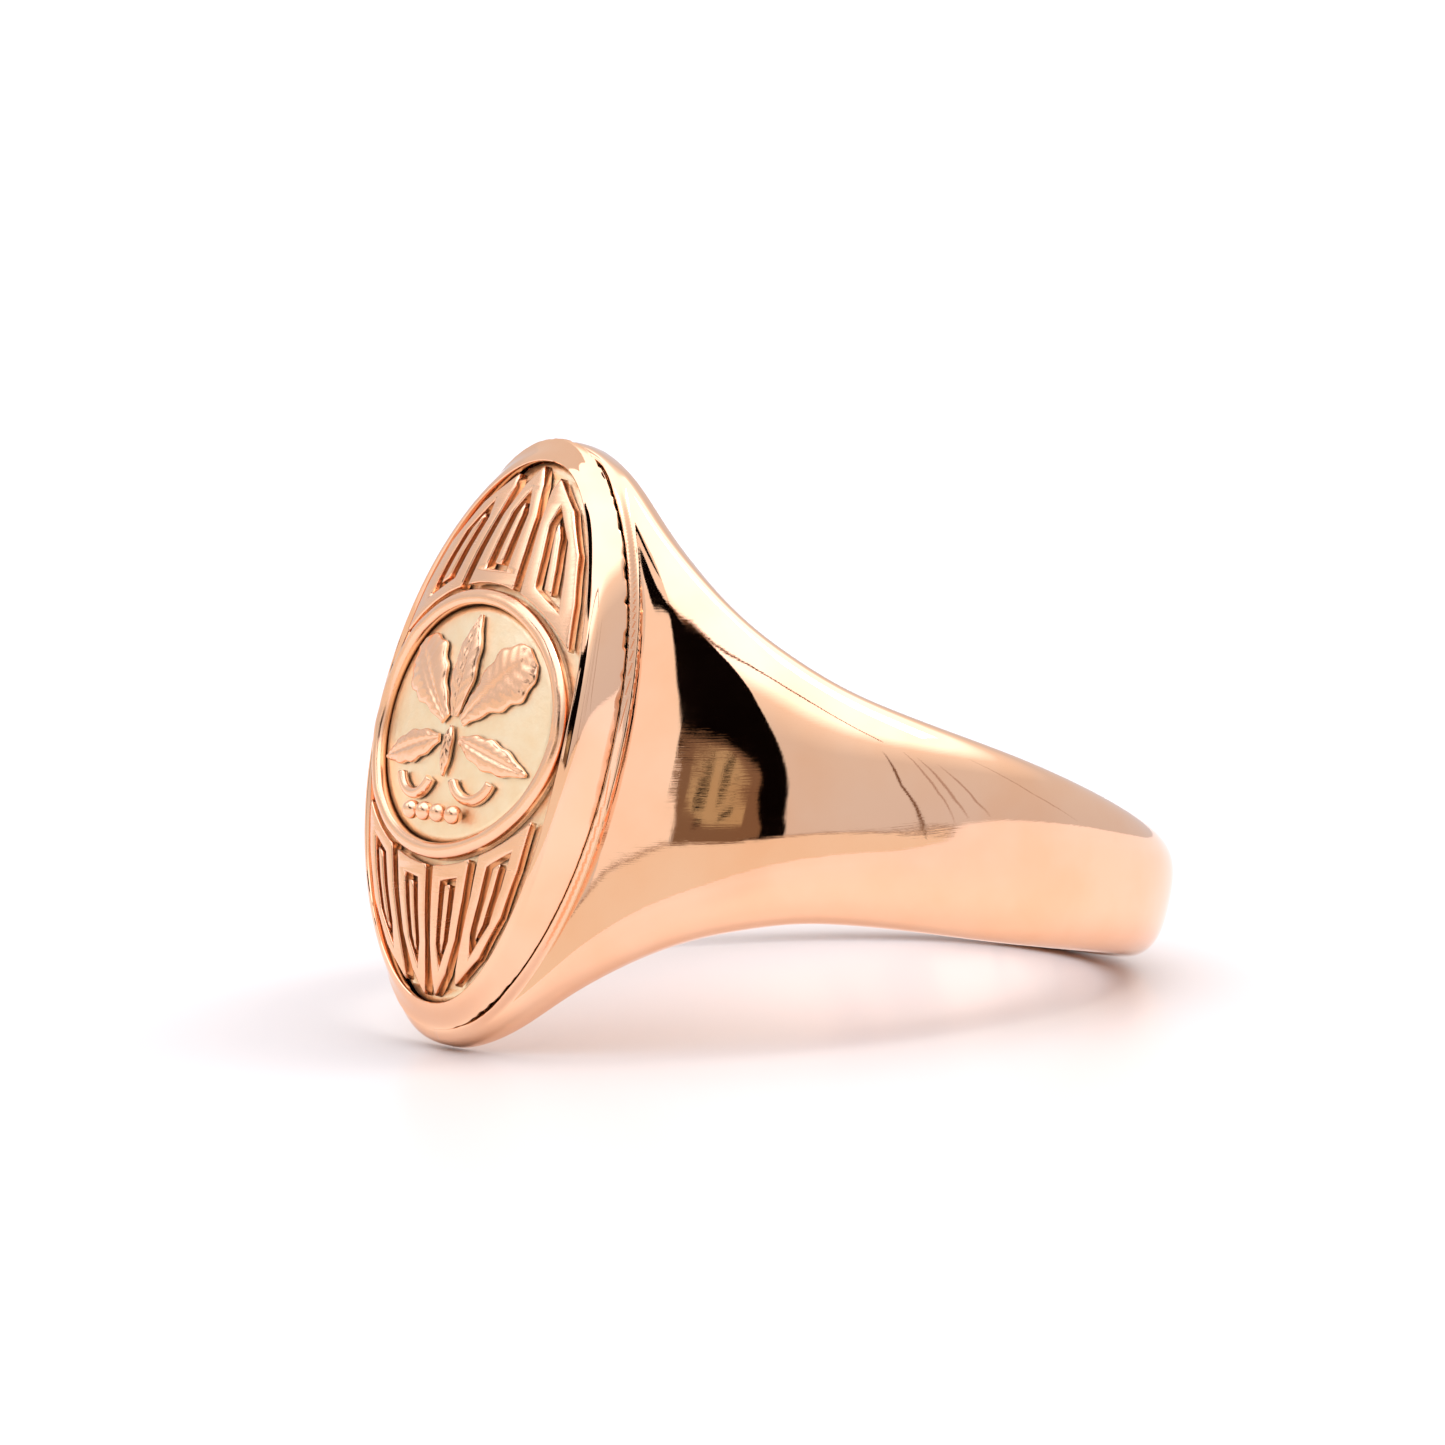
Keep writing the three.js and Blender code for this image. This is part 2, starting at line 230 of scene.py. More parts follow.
class Graph:
    """A material's nodes, with coordinates in millimetres."""

    def __init__(self, name):
        self.material, self.nodes, self.links = new_material(name)
        coords = self.nodes.new("ShaderNodeTexCoord")
        scale = self.nodes.new("ShaderNodeMapping")
        scale.inputs["Scale"].default_value = (1000, 1000, 1000)
        self.link(coords, "Object", scale, "Vector")
        self.mm = scale

    def link(self, a, out, b, name):
        self.links.new(a.outputs[out], b.inputs[name])

    def noise(self, scale, detail=3, rough=0.5, stretch=None, distortion=0.0):
        node = self.nodes.new("ShaderNodeTexNoise")
        node.inputs["Scale"].default_value = scale
        node.inputs["Detail"].default_value = detail
        node.inputs["Roughness"].default_value = rough
        node.inputs["Distortion"].default_value = distortion
        source = self.mm
        if stretch:
            source = self.nodes.new("ShaderNodeMapping")
            source.inputs["Scale"].default_value = stretch["scale"]
            source.inputs["Rotation"].default_value = stretch["turn"]
            self.link(self.mm, "Vector", source, "Vector")
        self.link(source, "Vector", node, "Vector")
        return node

    def ramp(self, source, stops, out="Fac"):
        node = self.nodes.new("ShaderNodeValToRGB")
        elements = node.color_ramp.elements
        while len(elements) < len(stops):
            elements.new(0.5)
        for element, (position, value) in zip(elements, stops):
            element.position = position
            element.color = (*value, 1) if isinstance(value, tuple) else (value, value, value, 1)
        self.link(source, out, node, "Fac")
        return node

    def mix(self, factor, a, b, blend="MIX"):
        node = self.nodes.new("ShaderNodeMix")
        node.data_type = "RGBA"
        node.blend_type = blend
        for value, index in ((factor, 0), (a, 6), (b, 7)):
            if isinstance(value, (int, float)):
                node.inputs[index].default_value = value if index == 0 else (value, value, value, 1)
            elif isinstance(value, tuple):
                node.inputs[index].default_value = (*value, 1)
            else:
                self.links.new(value, node.inputs[index])
        return node.outputs[2]

    def bump(self, height, strength, distance, under=None):
        node = self.nodes.new("ShaderNodeBump")
        node.inputs["Strength"].default_value = strength
        node.inputs["Distance"].default_value = distance
        self.links.new(height, node.inputs["Height"])
        if under:
            self.links.new(under, node.inputs["Normal"])
        return node.outputs["Normal"]

    def metal(self, colour, roughness, normal):
        shader = self.nodes.new("ShaderNodeBsdfPrincipled")
        shader.inputs["Metallic"].default_value = 1.0
        self.links.new(colour, shader.inputs["Base Color"])
        self.links.new(roughness, shader.inputs["Roughness"])
        self.links.new(normal, shader.inputs["Normal"])
        out = self.nodes.new("ShaderNodeOutputMaterial")
        self.link(shader, "BSDF", out, "Surface")
        return self.material


ROSE = (0.955, 0.59, 0.395)
ROSE_DEEP = (0.945, 0.54, 0.335)
GREEN_GOLD = (0.99, 0.79, 0.52)
# Colour that tight corners darken towards: patina, and painted shade.
PATINA_AND_SHADE_COLOUR = (0.26, 0.15, 0.06)
NOISE_LOW = 0.38
NOISE_HIGH = 0.66
CAST_SHADE_AND_PATINA_REACH = 0.00015
GROUND_SHADE_AND_PATINA_REACH = 0.0002


def occlusion(g, distance, stops):
    """Darkening of tight inner corners, found by ambient occlusion: patina in part, painted shade in part.
    """
    node = g.nodes.new("ShaderNodeAmbientOcclusion")
    node.samples = 8
    node.inputs["Distance"].default_value = distance
    return g.ramp(node, stops, out="AO")


def rose_gold(name, low, high, wear, shade_and_patina_reach=None):
    """Polished rose gold: roughness from low to high, with faint scratches and smudges."""
    g = Graph(name)
    cloud = g.ramp(g.noise(0.45, 3), [(0.35, 0.0), (0.7, 1.0)])
    colour = g.mix(cloud.outputs["Color"], ROSE, ROSE_DEEP)
    scratch = g.noise(2.4, 5, 0.62, {"scale": (0.35, 0.35, 9.0), "turn": (0.33, 0, 0)})
    scratch_cross = g.noise(2.6, 4, 0.62, {"scale": (6.0, 0.6, 0.6), "turn": (0.2, 0.5, 0.7)})
    smudge = g.noise(0.9, 4, 0.6, distortion=0.6)
    rough = g.mix(0.5, scratch.outputs["Fac"], smudge.outputs["Fac"])
    polish = g.nodes.new("ShaderNodeMapRange")
    polish.inputs["From Min"].default_value = NOISE_LOW
    polish.inputs["From Max"].default_value = NOISE_HIGH
    polish.inputs["To Min"].default_value = low
    polish.inputs["To Max"].default_value = high
    g.links.new(rough, polish.inputs["Value"])
    normal = g.bump(scratch.outputs["Fac"], 0.02 * wear, 0.00002)
    normal = g.bump(scratch_cross.outputs["Fac"], 0.015 * wear, 0.00002, normal)
    normal = g.bump(g.noise(0.7, 2).outputs["Fac"], 0.05 * wear, 0.0001, normal)
    # Painted shade with some patina: ambient occlusion darkens tight corners.
    if shade_and_patina_reach:
        shade_and_patina = occlusion(g, shade_and_patina_reach, [(0.02, 0.0), (0.48, 1.0)])
        colour = g.mix(shade_and_patina.outputs["Color"], PATINA_AND_SHADE_COLOUR, colour)
    return g.metal(colour, polish.outputs["Result"], normal)


def matte_ground(name):
    """Grained greener gold, darker in its corners: patina in part, painted shade in part."""
    g = Graph(name)
    grain = g.noise(9.0, 5, 0.7)
    blotch = g.ramp(g.noise(1.6, 4, 0.6), [(0.32, (0.96, 0.72, 0.46)), (0.7, (1.0, 0.84, 0.62))])
    colour = g.mix(0.35, blotch.outputs["Color"], GREEN_GOLD)
    # Painted shade with some patina: ambient occlusion darkens tight corners.
    shade_and_patina = occlusion(g, GROUND_SHADE_AND_PATINA_REACH, [(0.05, 0.0), (0.5, 1.0)])
    colour = g.mix(shade_and_patina.outputs["Color"], PATINA_AND_SHADE_COLOUR, colour)
    rough = g.ramp(grain, [(0.3, 0.28), (0.7, 0.5)])
    normal = g.bump(grain.outputs["Fac"], 0.3, 0.00004)
    normal = g.bump(g.noise(2.6, 4).outputs["Fac"], 0.2, 0.00008, normal)
    return g.metal(colour, rough.outputs["Color"], normal)


def solder_metal(name):
    """Dark pitted solder."""
    g = Graph(name)
    pits = g.noise(7.0, 5, 0.7)
    tone = g.ramp(pits, [(0.38, (0.05, 0.02, 0.01)), (0.6, (0.45, 0.27, 0.13))])
    rough = g.ramp(pits, [(0.3, 0.8), (0.7, 0.4)])
    normal = g.bump(pits.outputs["Fac"], 0.9, 0.00008)
    return g.metal(tone.outputs["Color"], rough.outputs["Color"], normal)


polished = rose_gold("polished_rose_gold", 0.015, 0.045, 0.8)
cast = rose_gold("cast_rose_gold", 0.12, 0.30, 3.0, shade_and_patina_reach=CAST_SHADE_AND_PATINA_REACH)
ground_metal = matte_ground("matte_green_gold")
solder = solder_metal("pitted_solder")


# ---------------------------------------------------------------- shank
# Millimetres, angles in degrees from the middle of the head. EASE is the rounded edge of the
# bore, SEAM the line where the margin meets the shoulder, FILM the solder at the sizing insert.
SECTION_OUTER = 221
SECTION_EASE = 8
SECTION_BORE = 12
EASE_DEPTH = 0.14
EASE_WIDTH = 0.3
SEAM_RISE = 0.5
SEAM_SPREAD = 0.18
SEAM_CLEARANCE = 0.01
FILLET_REACH = 0.13
FILLET_LAP = 0.1
BROADSIDE = 90
HEAD_SPAN = 34
HEAD_STEPS = 130
BAND_STEPS = 150
INSERT_STEPS = 40
FILM_STEPS = 4
FILM_T = 0.08
FILM_INSET = 0.02
HAIRLINE = 0.01


def side_rise(v):
    """1 along the sides of the plate, 0 at its tips."""
    return np.clip(1 - np.abs(np.asarray(v) / FACE_HALF_H) ** 4, 0, 1)


def fillet(radius, angle, v):
    """Lifts the shoulder in a small fillet to the seam along the side of the face plate."""
    u = np.radians(angle) * FACE_R
    oval = np.abs(u / FACE_HALF_W) ** FACE_POWER + np.abs(v / FACE_HALF_H) ** FACE_POWER
    beyond = (oval ** (1 / FACE_POWER) - 1) * FACE_HALF_W - SEAM_SPREAD * side_rise(v)
    outside, inside = np.clip(beyond, 0, None), np.clip(-beyond, 0, None)
    seam = SEAM_R + SEAM_RISE * side_rise(v) - SEAM_CLEARANCE
    lift = np.clip(seam - radius, 0, None) * np.clip(2 * side_rise(v), 0, 1)
    slope = np.clip(1 - outside / FILLET_REACH, 0, 1)
    return radius + lift * slope * slope * (3 - 2 * slope) * np.exp(-(inside / FILLET_LAP) ** 2)


def section_rings(angles, shrink=0.0):
    """Rounded cross sections of the shank at the given angles, degrees from the head."""
    folded = np.where(angles > 180, 360 - angles, np.abs(angles))
    h = fair(HALF_WIDTH, folded)[:, None] - shrink
    t = fair(THICKNESS, folded)[:, None] - shrink
    land = fair(EDGE_LAND, folded)[:, None]
    power = fair(ROUNDNESS, folded, 1.5)[:, None]
    lean = BASE_Z * np.clip(1 - folded / SHOULDER_END, 0, None)[:, None]
    s = np.sin(np.linspace(-math.pi / 2, math.pi / 2, SECTION_OUTER))[None]
    fall = np.clip(1 - np.abs(s) ** power, 0, None) ** (1 / OUTER_POWER)
    r_outer = BORE_R + land + (t - land) * fall
    z_outer = s * h
    r_outer = fillet(r_outer, np.minimum(folded, BROADSIDE)[:, None], z_outer + lean - HEAD_Z)
    a = np.linspace(0, math.pi / 2, SECTION_EASE)[None]
    r_ease = BORE_R + EASE_DEPTH * (1 - np.sin(a)) + 0 * h
    z_ease = h - EASE_WIDTH * (1 - np.cos(a))
    bore = np.linspace(1, -1, SECTION_BORE + 2)[None, 1:-1]
    z_bore = bore * (h - EASE_WIDTH)
    r = np.concatenate([r_outer, r_ease, BORE_R + 0 * z_bore, r_ease[:, ::-1]], 1)
    z = np.concatenate([z_outer, z_ease, z_bore, -z_ease[:, ::-1]], 1) + lean
    phi = np.radians(angles)[:, None]
    return np.stack([r * np.sin(phi), -r * np.cos(phi), z], -1)


def band(name, angles, material, shrink=0.0):
    """Capped length of the band."""
    return skin(name, section_rings(np.asarray(angles, float), shrink), material, caps=True)


gap_angle = math.degrees(GAP / BORE_R)
film_angle = math.degrees(FILM_T / BORE_R)
back_from = 180 - SIZING_HALF_ANGLE
film_start = back_from + gap_angle
film_end = film_start + film_angle
insert_start = film_end + gap_angle
front = film_angle / 2 + HAIRLINE

half_round = np.concatenate([
    np.linspace(front, HEAD_SPAN, HEAD_STEPS)[:-1], np.linspace(HEAD_SPAN, back_from, BAND_STEPS),
])
finish_piece(band("shank_right_metal", half_round, polished), "rose_gold", "shank_right")
finish_piece(band("shank_left_metal", 360 - half_round[::-1], polished), "rose_gold", "shank_left")
insert = np.linspace(insert_start, 360 - insert_start, INSERT_STEPS)
finish_piece(band("sizing_insert", insert, polished), "rose_gold", "sizing_piece")
film = np.linspace(film_start, film_end, FILM_STEPS)
finish_piece(band("sizing_solder_right", film, solder, FILM_INSET), "solder", "sizing_joint_right")
finish_piece(band("sizing_solder_left", 360 - film[::-1], solder, FILM_INSET), "solder", "sizing_joint_left")
front_film = np.linspace(-film_angle / 2, film_angle / 2, FILM_STEPS)
finish_piece(band("front_solder", front_film, polished), "solder", "front_joint")

# ---------------------------------------------------------------- face plate
AROUND = 320
around = np.linspace(0, 2 * math.pi, AROUND, endpoint=False)


def ripple(angles, waves, seed):
    """Repeatable rough line round the outline, about -1 to 1."""
    local = np.random.default_rng(seed)
    total = np.zeros_like(angles)
    for wave in waves:
        total += local.uniform(0.5, 1) * np.sin(wave * angles + local.uniform(0, 2 * math.pi))
    return total / len(waves) ** 0.5


def bump_at(centre, width):
    """Smooth hump round the outline at an angle in degrees."""
    turn = (np.degrees(around) - centre + 180) % 360 - 180
    return np.exp(-(turn / width) ** 2)


# The solder line is widest and roughest at the upper right of the head, with a short rough
# patch near its lower tip. Angles are degrees from the right side of the face.
UPPER_RIGHT = 52
LOWER_TIP = -72
RIGHT_SIDE = 0
LEFT_SIDE = 180
PIT_SIZE = 0.1
rough_zone = bump_at(UPPER_RIGHT, 26) + 0.7 * bump_at(LOWER_TIP, 7) + 0.12
pit_depth = np.clip(ripple(around, [23, 41, 67, 97, 131], 3), 0, None) * rough_zone * PIT_SIZE
seam_width = (0.02 + 0.03 * bump_at(RIGHT_SIDE, 45) + 0.05 * bump_at(UPPER_RIGHT, 30)
              + 0.03 * bump_at(LEFT_SIDE, 60) + 0.04 * bump_at(LOWER_TIP, 7))
EDGE_V = outline(around, 0)[1]
SEAM_LINE = SEAM_R + SEAM_RISE * side_rise(EDGE_V)
ROLL_CENTRE = 0.36
ROLL_WIDTH = 0.18
INNER_EDGE = 0.03
INNER_EDGE_INSET = 0.04
MARGIN_STEPS = 46
RAGGED_FROM = 0.9
UNDER_LAP = 0.25
SOLDER_AROUND = 14
SOLDER_REACH = 0.12


def roll(x):
    """Fall of the margin from 0 to 1: nearly flat, then a smooth turn into a sloping wall."""
    def height(p):
        return math.hypot(p - ROLL_CENTRE, ROLL_WIDTH) + p - ROLL_CENTRE
    return (height(x) - height(0)) / (height(1) - height(0))


def frame_rings():
    """Closed section of the margin, from its inner wall over the crown to the seam."""
    rows = [(1.0, None), (1.0, -INNER_EDGE)]
    rows += [(1 - INNER_EDGE_INSET * math.sin(a), -INNER_EDGE * (1 - math.sin(a)))
             for a in np.linspace(0.3, math.pi / 2, 5)]
    rings = []
    for inset, fall in rows:
        u, v = outline(around, inset)
        radius = np.full_like(u, PLATE_R) if fall is None else FACE_R - crown(v) + fall
        rings.append(wrap(u, v, radius))
    spread = SEAM_SPREAD / MARGIN_SIDE * side_rise(EDGE_V)
    low = SEAM_LINE + seam_width
    for x in [*np.linspace(0.06, 0.97, MARGIN_STEPS), 0.985, 1.0]:
        ragged = pit_depth * max(0.0, (x - RAGGED_FROM) / (1 - RAGGED_FROM)) ** 2
        inset = 1 - x * (1 + spread) + ragged / MARGIN_SIDE
        u, v = outline(around, inset)
        top = FACE_R - crown(v)
        rings.append(wrap(u, v, top + (low - top) * roll(x)))
    u, v = outline(around, UNDER_LAP - spread)
    rings.append(wrap(u, v, np.maximum(low - 0.02, SEAM_R)))
    return rings


finish_piece(skin("face_margin", frame_rings(), polished), "rose_gold", "face_frame")


def dish(name, edge, top, bottom, steps, material):
    """Oval sheet wrapped round the finger. edge gives (u, v); top and bottom give radii."""
    eu, ev = edge
    scales = np.linspace(0, 1, steps + 1)[1:]
    rings = [wrap(eu * k, ev * k, top(ev * k)) for k in scales]
    rings += [wrap(eu * k, ev * k, bottom(ev * k)) for k in scales[::-1]]
    poles = [wrap(0, 0, top(0)), wrap(0, 0, bottom(0))]
    return skin(name, rings, material, poles=poles)


def solder_rings():
    """Thin ragged fillet of solder that fills the seam between plate and shank."""
    spread = SEAM_SPREAD / MARGIN_SIDE * side_rise(EDGE_V)
    bite = (0.015 + 0.9 * pit_depth + 0.02 * ripple(around, [31, 53, 89], 5) ** 2) / MARGIN_SIDE
    rings = []
    middle = SEAM_LINE + seam_width / 2 - 0.02
    for a in np.linspace(0, 2 * math.pi, SOLDER_AROUND, endpoint=False):
        u, v = outline(around, bite + SOLDER_REACH * (1 - math.cos(a)) - spread)
        rings.append(wrap(u, v, middle + (seam_width / 2 + 0.03) * math.sin(a)))
    return rings


finish_piece(skin("face_solder_line", solder_rings(), solder), "solder", "face_solder")
finish_piece(dish("sunk_ground", outline(around, 1.03), lambda v: FACE_R - crown(v) - RELIEF,
                  lambda v: PLATE_R + 0 * v, 24, ground_metal), "matte_ground", "ground_plate")

# ---------------------------------------------------------------- medallion
MEDAL_AROUND = 200
RIM_SHOULDER = 0.1
medal_angles = np.linspace(0, 2 * math.pi, MEDAL_AROUND, endpoint=False)


def medal_ring(inset, w):
    """Ring of the border, inset from its outer edge and w above the face."""
    u = (MEDAL_HALF_W - inset) * np.cos(medal_angles)
    v = (MEDAL_HALF_H - inset) * np.sin(medal_angles)
    return on_face(u, v, w)


def medal_rim():
    """Rounded border whose top wavers slightly."""
    low = SEAT - RELIEF
    wobble = 0.012 * ripple(medal_angles, [5, 9, 14, 22], 9)
    half = MEDAL_RIM_W / 2
    rings = [medal_ring(0, low)]
    for a in np.linspace(0, math.pi, 22):
        w = -RIM_SHOULDER + (MEDAL_RIM_UP + RIM_SHOULDER + wobble) * math.sin(a) ** 0.8
        rings.append(medal_ring(half - half * math.cos(a), w))
    rings.append(medal_ring(MEDAL_RIM_W, low))
    return rings


finish_piece(skin("medallion_border", medal_rim(), cast), "rose_gold", "medallion_rim")

disc_u = (MEDAL_HALF_W - MEDAL_RIM_W - GAP) * np.cos(medal_angles)
disc_v = (MEDAL_HALF_H - MEDAL_RIM_W - GAP) * np.sin(medal_angles)
finish_piece(dish("medallion_floor", (disc_u, disc_v),
                  lambda v: FACE_R - crown(v) + SEAT - RELIEF + MEDAL_DISC_T,
                  lambda v: FACE_R - crown(v) + SEAT - RELIEF, 16, ground_metal),
             "matte_ground", "medallion_disc")

CREST_LOW = 2 * SEAT - RELIEF + MEDAL_DISC_T
CREST_HIGH = 0.02
LEAF_STEPS = 48
LEAF_AROUND = 40
EDGE_WAVE = 0.07
VEIN_RISE = 0.07
RIB_DEPTH = 0.38
RIB_WIDTH = 0.14
# Half widths of a leaf along its length, as shares of its full width.
POINTED = ((0, 0.12), (0.25, 0.42), (0.5, 0.5), (0.75, 0.36), (1, 0.05))
BLUNT = ((0, 0.1), (0.3, 0.26), (0.55, 0.46), (0.75, 0.5), (0.9, 0.4), (1, 0.16))


def crest_leaf(name, node, sides, x, z, angle, length, width, lobes):
    """Domed leaf with a sunk midrib and a wavy edge."""
    a = math.radians(angle)
    along = 0.5 - 0.5 * np.cos(np.linspace(0.03, math.pi - 0.03, LEAF_STEPS))
    profile = np.interp(along, *zip(*sides))
    profile = np.convolve(np.pad(profile, 3, mode="edge"), np.ones(7) / 7, mode="valid")
    wave = 1 - EDGE_WAVE + EDGE_WAVE * np.cos((along - 0.7) * 2 * lobes * math.pi)
    turn = np.linspace(0, 2 * math.pi, LEAF_AROUND, endpoint=False)
    side, upper = np.cos(turn), np.sin(turn) > 0
    rings = []
    for t, half in zip(along, profile * wave * width):
        lift = np.where(upper, np.abs(np.sin(turn)) ** 0.5, 0)
        rib = np.where(upper, RIB_DEPTH * np.exp(-(side / RIB_WIDTH) ** 2) * min(1, 4 * (1 - t)), 0)
        vein = np.where(upper, VEIN_RISE * np.cos(2 * math.pi * (2.4 * lobes * t - 1.2 * np.abs(side))), 0)
        rise = math.sin(math.pi * min(max(t, 0.04), 0.96)) ** 0.3
        w = CREST_LOW + (CREST_HIGH - CREST_LOW) * (lift * (0.93 + vein) - rib) * rise
        u = x + t * length * math.sin(a) + side * half * math.cos(a)
        v = z + t * length * math.cos(a) - side * half * math.sin(a)
        rings.append(on_face(u, v, np.maximum(w, CREST_LOW)))
    finish_piece(skin(name, rings, cast, caps=True), "rose_gold", node)


# Outline, foot x and z, angle from upright, length, width and number of lobes.
LEAVES = {
    "leaf_centre": (POINTED, 0, 0.15, 0, 2.75, 1.05, 3),
    "leaf_upper_left": (BLUNT, -0.35, 0.05, -47, 2.85, 1.85, 4),
    "leaf_upper_right": (BLUNT, 0.35, 0.05, 47, 2.85, 1.85, 4),
    "leaf_lower_left": (POINTED, -0.45, -0.45, -104, 2.7, 0.95, 4),
    "leaf_lower_right": (POINTED, 0.45, -0.45, 104, 2.7, 0.95, 4),
    "crest_stem": (POINTED, 0, -0.1, 180, 1.35, 0.42, 2),
}
for node, place in LEAVES.items():
    crest_leaf("carved_" + node, node, *place)


def ribbon(name, node, x, z, radius, width, start, end):
    """Curved strap, rounded on top."""
    turn = np.linspace(0, 2 * math.pi, 20, endpoint=False)
    rings = []
    for a in np.radians(np.linspace(start, end, 30)):
        across = radius + np.cos(turn) * width / 2
        w = CREST_LOW + (CREST_HIGH - CREST_LOW) * np.clip(np.sin(turn), 0, None) ** 0.6
        rings.append(on_face(x + across * math.cos(a), z + across * math.sin(a), w))
    finish_piece(skin(name, rings, cast, caps=True), "rose_gold", node)


RIBBON_X = 1.2
RIBBON_Z = -1.2
RIBBON_R = 0.78
RIBBON_W = 0.3
ribbon("carved_ribbon_left", "ribbon_left", -RIBBON_X, RIBBON_Z, RIBBON_R, RIBBON_W, 200, 335)
ribbon("carved_ribbon_right", "ribbon_right", RIBBON_X, RIBBON_Z, RIBBON_R, RIBBON_W, 205, 340)

BEADS = 4
BEAD_R = 0.25
BEAD_PITCH = 0.6
BEAD_Z = -2.42
for i in range(BEADS):
    centre = on_face(BEAD_PITCH * (i - (BEADS - 1) / 2), BEAD_Z, CREST_LOW + BEAD_R)
    polar = np.linspace(0, math.pi, 18)[1:-1]
    spin = np.linspace(0, 2 * math.pi, 28, endpoint=False)
    rings = [centre + BEAD_R * np.stack([math.sin(p) * np.cos(spin), math.sin(p) * np.sin(spin),
                                         math.cos(p) + 0 * spin], -1) for p in polar]
    poles = [centre + (0, 0, BEAD_R), centre - (0, 0, BEAD_R)]
    finish_piece(skin(f"round_bead_{i + 1}", rings, cast, poles=poles), "rose_gold", f"bead_{i + 1}")


# ---------------------------------------------------------------- arches and reeds
FIELD_SPREAD = 0.9
CLEAR_OF_MEDAL_W = 0.12
CLEAR_OF_MEDAL_H = 0.16
FIELD_TOP = 0.98
FIELD_TOP_DROP = 0.1


def field_point(side, p, q):
    """Point of the field above or below the medallion: p across it, q outwards."""
    room = FACE_HALF_W - MARGIN_SIDE
    top = FACE_HALF_H - MARGIN_END
    reach = min(abs(p * room * FIELD_SPREAD) / (MEDAL_HALF_W + CLEAR_OF_MEDAL_W), 0.95)
    near = (MEDAL_HALF_H + CLEAR_OF_MEDAL_H) * math.sqrt(1 - reach * reach)
    far = top * (FIELD_TOP - FIELD_TOP_DROP * p * p)
    v = near + (far - near) * q
    half = room * (1 - min(v / top, 0.999) ** FACE_POWER) ** (1 / FACE_POWER)
    return p * half, side * v


def resample(loop, step):
    """Adds points along the straight sides of a closed outline."""
    points = []
    for (x0, y0), (x1, y1) in zip(loop, loop[1:] + loop[:1]):
        pieces = max(1, int(math.hypot(x1 - x0, y1 - y0) / step))
        points += [(x0 + (x1 - x0) * k / pieces, y0 + (y1 - y0) * k / pieces) for k in range(pieces)]
    return points


RELIEF_BEVEL = 0.05
RELIEF_STEP = 0.14


def relief_piece(name, node, loops, low, high, material):
    """Flat outline with softened edges, raised and wrapped round the face."""
    drawing = bpy.data.curves.new(name, "CURVE")
    drawing.dimensions = "2D"
    drawing.fill_mode = "BOTH"
    drawing.extrude = (high - low) / 2 - RELIEF_BEVEL
    drawing.bevel_depth = RELIEF_BEVEL
    drawing.bevel_resolution = 2
    drawing.offset = -RELIEF_BEVEL
    for loop in loops:
        points = resample(loop, RELIEF_STEP)
        spline = drawing.splines.new("POLY")
        spline.points.add(len(points) - 1)
        for point, (u, v) in zip(spline.points, points):
            point.co = (u, v, 0, 1)
        spline.use_cyclic_u = True
    holder = bpy.data.objects.new(name + "_outline", drawing)
    flat = bpy.data.meshes.new_from_object(holder)
    bpy.data.objects.remove(holder)
    co = np.empty(len(flat.vertices) * 3)
    flat.vertices.foreach_get("co", co)
    co = co.reshape(-1, 3)
    keys = {}
    index = [keys.setdefault(tuple(point), len(keys)) for point in np.round(co, 4)]
    kept = np.array(list(keys), float)
    faces = [tuple(dict.fromkeys(index[i] for i in polygon.vertices)) for polygon in flat.polygons]
    faces = [face for face in faces if len(face) > 2]
    w = kept[:, 2] + (high + low) / 2
    piece = add_mesh(name, pose(on_face(kept[:, 0], kept[:, 1], w)), faces, material)
    outward(piece)
    weighted = piece.modifiers.new("weighted", "WEIGHTED_NORMAL")
    weighted.weight = 70
    finish_piece(piece, "rose_gold", node)


ARCH_OUTER = [
    (-1, 0), (-1, 0.3), (-1, 0.6), (-0.75, 0.85), (0, 1), (0.75, 0.85), (1, 0.6), (1, 0.3), (1, 0),
    (0.5, 0), (0, 0), (-0.5, 0),
]
ARCH_INNER = [(0.5, 0.12), (0.5, 0.36), (0.5, 0.6), (0, 0.8), (-0.5, 0.6), (-0.5, 0.36), (-0.5, 0.12)]
REED = [(-0.14, 0.16), (-0.14, 0.36), (-0.14, 0.58), (0, 0.68), (0.14, 0.58), (0.14, 0.36), (0.14, 0.16)]
FIELDS = {"upper": (1, 3), "lower": (-1, 4)}
FIELD_REACH = 0.95
ARCH_GAP = 0.045
for field, (side, count) in FIELDS.items():
    pitch = 2 * FIELD_REACH / count
    half = pitch / 2 - ARCH_GAP
    for i in range(count):
        centre = -FIELD_REACH + pitch * (i + 0.5)

        def place(points):
            return [field_point(side, centre + a * half, q) for a, q in points]

        relief_piece(f"carved_{field}_arch_{i + 1}", f"{field}_arch_{i + 1}",
                     [place(ARCH_OUTER), place(ARCH_INNER)], SEAT - RELIEF, 0, cast)
        relief_piece(f"carved_{field}_reed_{i + 1}", f"{field}_reed_{i + 1}",
                     [place(REED)], SEAT - RELIEF, 0, cast)

# ---------------------------------------------------------------- table
# Half side in metres; the painted shade and warm reflected glow round the ring fade between two distances in
# mm from the ring's centre.
TABLE_HALF = 1.5
SHADE_AND_GLOW_WITHIN = 14
SHADE_AND_GLOW_UNTIL = 60

scene = bpy.context.scene


